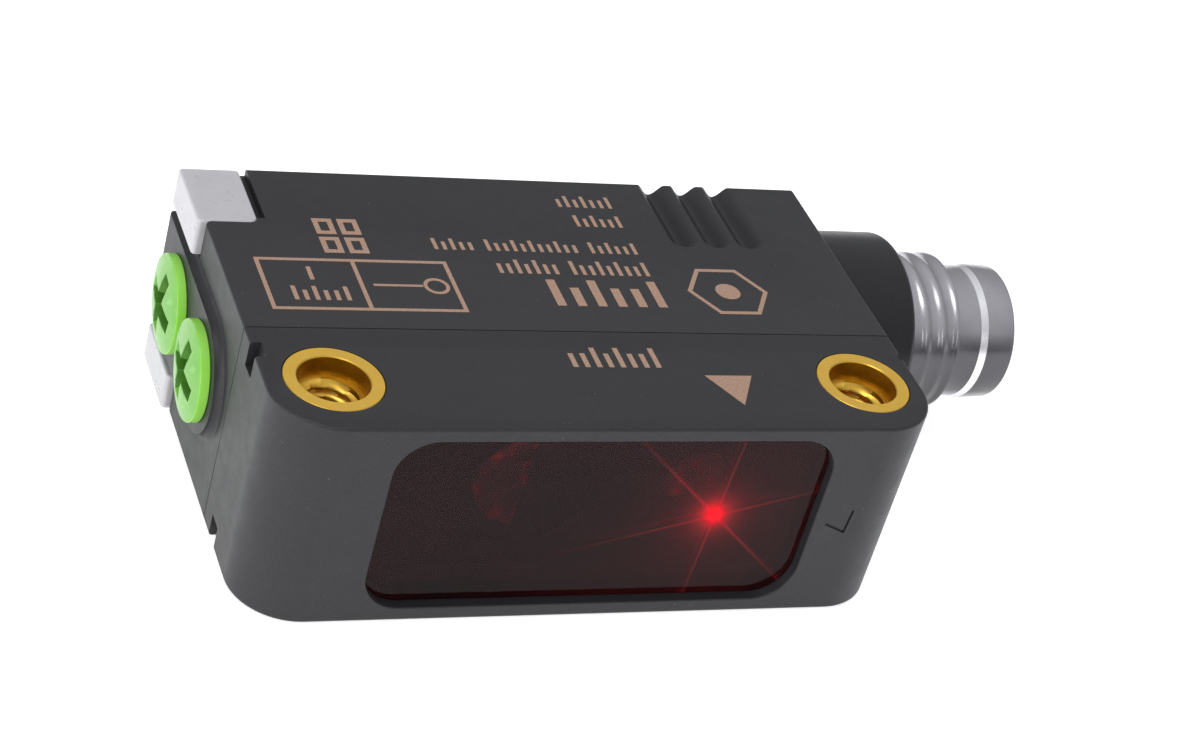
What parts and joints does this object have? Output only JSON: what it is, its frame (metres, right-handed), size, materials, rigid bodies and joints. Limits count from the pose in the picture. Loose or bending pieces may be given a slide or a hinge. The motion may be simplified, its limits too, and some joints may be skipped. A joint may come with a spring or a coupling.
{
  "type": "photoelectric sensor",
  "caption": "Miniature laser photoelectric sensor in a flat block housing, with a dark front window, end adjusters, corner indicators and a threaded round plug connector.",
  "frame": {"origin": "midway between the axes of the two mounting bushes, on the lower big face of the housing", "axes": "+Z is the normal of the upper big face, through the thickness; +X runs along the length towards the plug connector; the front window looks along -Y"},
  "size_m": [0.0435, 0.0201, 0.0107],
  "materials": {
    "housing_plastic": "fine-grained dark grey moulded plastic",
    "collar_plastic": "satin black moulded plastic",
    "tinted_window": "polished dark red tinted sheet",
    "bush_brass": "turned brass",
    "light_guide": "milky translucent moulding",
    "green_knob": "satin green moulding",
    "nickelled_brass": "bright nickel plate",
    "contact_gold": "gold flash",
    "insert_plastic": "black glass-filled plastic",
    "seal_rubber": "black seal rubber",
    "white_plastic": "off-white moulding",
    "trimmer_plastic": "blue moulding",
    "circuit_board": "green solder mask",
    "chip_resin": "black moulding resin",
    "indicator_diode": "yellow-filled clear resin",
    "capacitor_can": "drawn aluminium can",
    "optics_plastic": "light-absorbing black moulding",
    "lens_plastic": "clear moulded lens",
    "laser_can": "plated steel can"
  },
  "bodies": {
    "housing": {"rear_housing": "housing_plastic", "front_cap": "housing_plastic", "front_window": "tinted_window", "window_seal": "seal_rubber", "mounting_bush_left": "bush_brass", "mounting_bush_right": "bush_brass", "trimmer_body_front": "trimmer_plastic", "trimmer_body_rear": "trimmer_plastic", "shaft_seal_front": "seal_rubber", "shaft_seal_rear": "seal_rubber", "indicator_window_upper": "light_guide", "indicator_window_lower": "light_guide", "indicator_diode_upper": "indicator_diode", "indicator_diode_lower": "indicator_diode", "control_board": "circuit_board", "main_board": "circuit_board", "connector_board": "circuit_board", "controller_chip": "chip_resin", "regulator_chip": "chip_resin", "board_header": "white_plastic", "storage_capacitor": "capacitor_can", "optics_carrier": "optics_plastic", "optics_board": "circuit_board", "receiver_lens": "lens_plastic", "receiver_baffle": "optics_plastic", "receiver_chip": "chip_resin", "collimator_lens": "lens_plastic", "laser_diode": "laser_can", "connector_collar": "collar_plastic", "connector_seal": "seal_rubber", "connector_shell": "nickelled_brass", "contact_insert": "insert_plastic", "contact_pin_1": "contact_gold", "contact_pin_2": "contact_gold", "contact_pin_3": "contact_gold", "contact_pin_4": "contact_gold"},
    "adjuster_front": {"adjuster_knob_front": "green_knob", "trimmer_rotor_front": "white_plastic"},
    "adjuster_rear": {"adjuster_knob_rear": "green_knob", "trimmer_rotor_rear": "white_plastic"}
  },
  "joints": [
    {"name": "adjuster_front_turn", "type": "hinge", "parent": "housing", "child": "adjuster_front", "pos_m": [-0.0161, 0.00764, 0.00535], "axis": [1, 0, 0], "range_deg": [-135, 135]},
    {"name": "adjuster_rear_turn", "type": "hinge", "parent": "housing", "child": "adjuster_rear", "pos_m": [-0.0161, 0.01276, 0.00535], "axis": [1, 0, 0], "range_deg": [-135, 135]}
  ]
}
